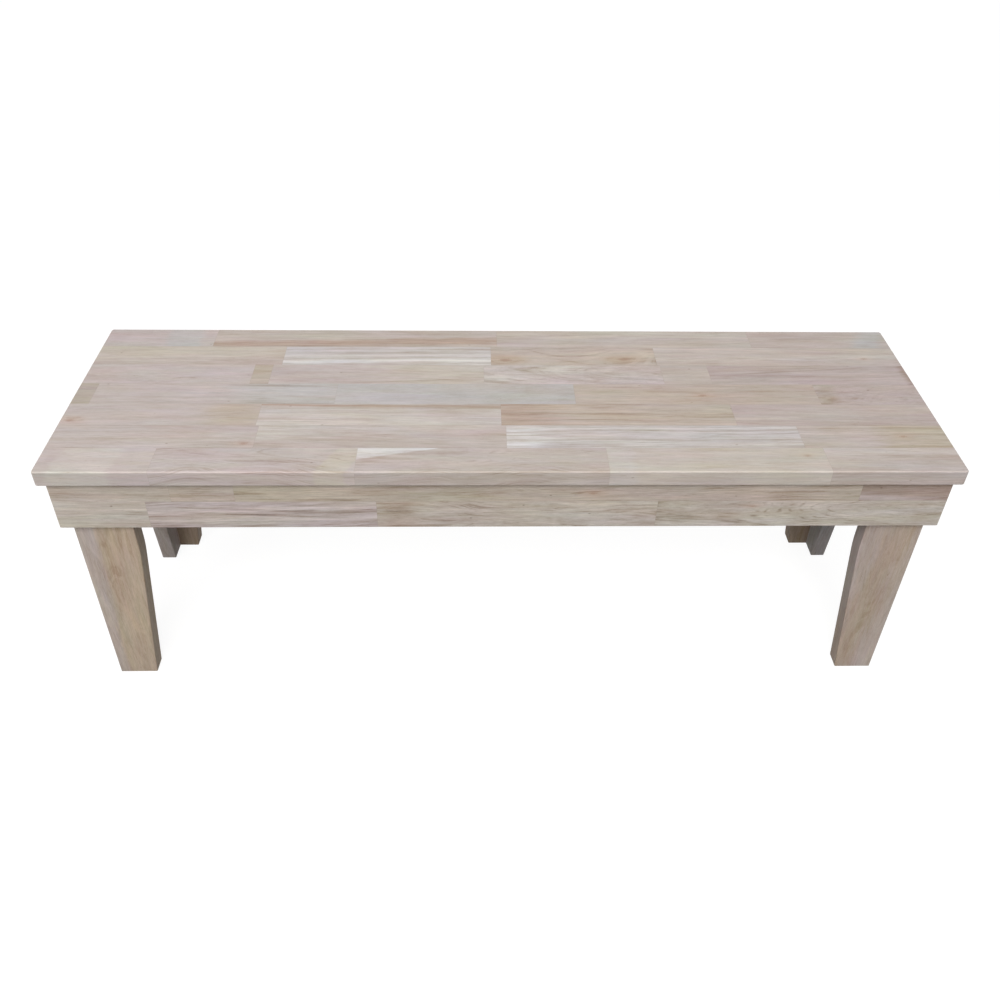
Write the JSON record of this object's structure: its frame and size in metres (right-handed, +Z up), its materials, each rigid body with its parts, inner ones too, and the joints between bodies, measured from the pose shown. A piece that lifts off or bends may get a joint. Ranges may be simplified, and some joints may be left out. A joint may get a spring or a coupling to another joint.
{
  "type": "bench",
  "caption": "Long plain wooden bench with a glued-up plank seat over mitred aprons and four L-section corner legs that taper inside.",
  "frame": {"origin": "middle of the bench's footprint, on the floor", "axes": "+X along the bench's length, to the right seen from the front; -Y is the front; +Z up"},
  "size_m": [1.27, 0.338, 0.457],
  "materials": {
    "seat_wood": "pale whitewashed hardwood staves, sanded, matte",
    "apron_wood": "pale whitewashed hardwood staves, sanded, matte",
    "leg_wood": "pale whitewashed hardwood board, sanded, matte",
    "hidden_wood": "planed hardwood, bare",
    "dowel_wood": "plain turned hardwood",
    "zinc_steel": "zinc plated, satin",
    "insert_zinc": "die-cast zinc, dull",
    "screw_steel": "yellow zinc plated, satin"
  },
  "bodies": {
    "root": {"apron_screws": "screw_steel", "apron_threaded_inserts": "insert_zinc", "back_apron_lower_strip": "apron_wood", "back_apron_upper_strip": "apron_wood", "back_left_leg_face_board": "leg_wood", "back_left_leg_glue_block": "hidden_wood", "back_left_leg_side_board": "leg_wood", "back_right_leg_face_board": "leg_wood", "back_right_leg_glue_block": "hidden_wood", "back_right_leg_side_board": "leg_wood", "back_seat_cleat": "hidden_wood", "batten_screws": "screw_steel", "front_apron_lower_strip": "apron_wood", "front_apron_upper_strip": "apron_wood", "front_left_leg_face_board": "leg_wood", "front_left_leg_glue_block": "hidden_wood", "front_left_leg_side_board": "leg_wood", "front_right_leg_face_board": "leg_wood", "front_right_leg_glue_block": "hidden_wood", "front_right_leg_side_board": "leg_wood", "front_seat_cleat": "hidden_wood", "left_apron_lower_strip": "apron_wood", "left_apron_upper_strip": "apron_wood", "left_seat_cleat": "hidden_wood", "leg_bolt_washers": "zinc_steel", "leg_bolts": "zinc_steel", "leg_dowels": "dowel_wood", "right_apron_lower_strip": "apron_wood", "right_apron_upper_strip": "apron_wood", "right_seat_cleat": "hidden_wood", "seat_batten": "hidden_wood", "seat_screws": "screw_steel", "seat_strip_1": "seat_wood", "seat_strip_2": "seat_wood", "seat_strip_3": "seat_wood", "seat_strip_4": "seat_wood", "seat_strip_5": "seat_wood", "seat_strip_6": "seat_wood", "seat_strip_7": "seat_wood"}
  },
  "joints": []
}
